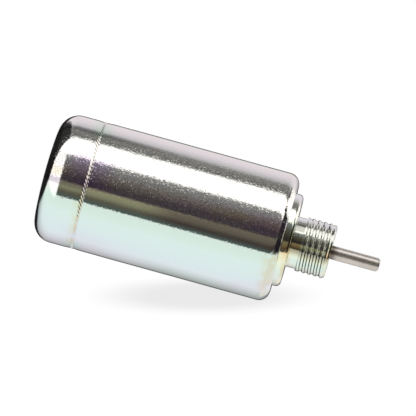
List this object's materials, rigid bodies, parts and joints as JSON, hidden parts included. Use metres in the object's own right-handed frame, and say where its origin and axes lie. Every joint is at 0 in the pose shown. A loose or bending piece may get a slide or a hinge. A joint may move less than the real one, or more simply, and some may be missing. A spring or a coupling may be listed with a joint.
{
  "type": "fuel shutoff solenoid",
  "caption": "Cylindrical plated fuel shutoff solenoid with a threaded nose and a spring-held push rod that the coil draws in.",
  "frame": {"origin": "centre of the closed rear face, on the plane that the solenoid stands on", "axes": "+Z along the axis, from the rear face to the tip of the rod"},
  "size_m": [0.0332, 0.0332, 0.0872],
  "materials": {
    "zinc_plated_shell": "zinc plate with a faint iridescent passivation",
    "zinc_plated_nose": "zinc plate with a faint iridescent passivation, turned",
    "bright_steel": "ground and polished",
    "soft_iron": "turned",
    "spring_steel": "drawn",
    "brass": "drawn",
    "bronze": "sintered",
    "tinned_brass": "tinned",
    "enamelled_copper": "enamelled",
    "black_rubber": "matt",
    "black_nylon": "moulded",
    "natural_nylon": "moulded",
    "yellow_tape": "wrapped"
  },
  "bodies": {
    "case": {"rear_cap": "zinc_plated_shell", "housing": "zinc_plated_shell", "nose_piece": "zinc_plated_nose", "nose_seal": "black_rubber", "rod_bush": "bronze", "rod_seal": "black_rubber", "guide_tube": "brass", "bobbin": "natural_nylon", "coil": "enamelled_copper", "coil_wrap": "yellow_tape", "rear_plate": "soft_iron", "rear_pole": "soft_iron", "rear_gasket": "black_rubber", "cone_washer": "spring_steel", "pole_shim": "brass", "cushion_ring": "black_rubber", "return_spring": "spring_steel", "terminal_block": "black_nylon", "spacer_ring": "black_nylon", "blade_left": "tinned_brass", "blade_right": "tinned_brass", "lead_left": "enamelled_copper", "lead_right": "enamelled_copper"},
    "plunger": {"armature": "soft_iron", "push_rod": "bright_steel", "rod_clip": "spring_steel"}
  },
  "joints": [
    {"name": "plunger_slide", "type": "slide", "parent": "case", "child": "plunger", "axis": [0, 0, 1], "range_m": [-0.008, 0], "stiffness_N_per_m": 1215, "springref_m": 0.0055, "deforming": ["return_spring"]}
  ]
}
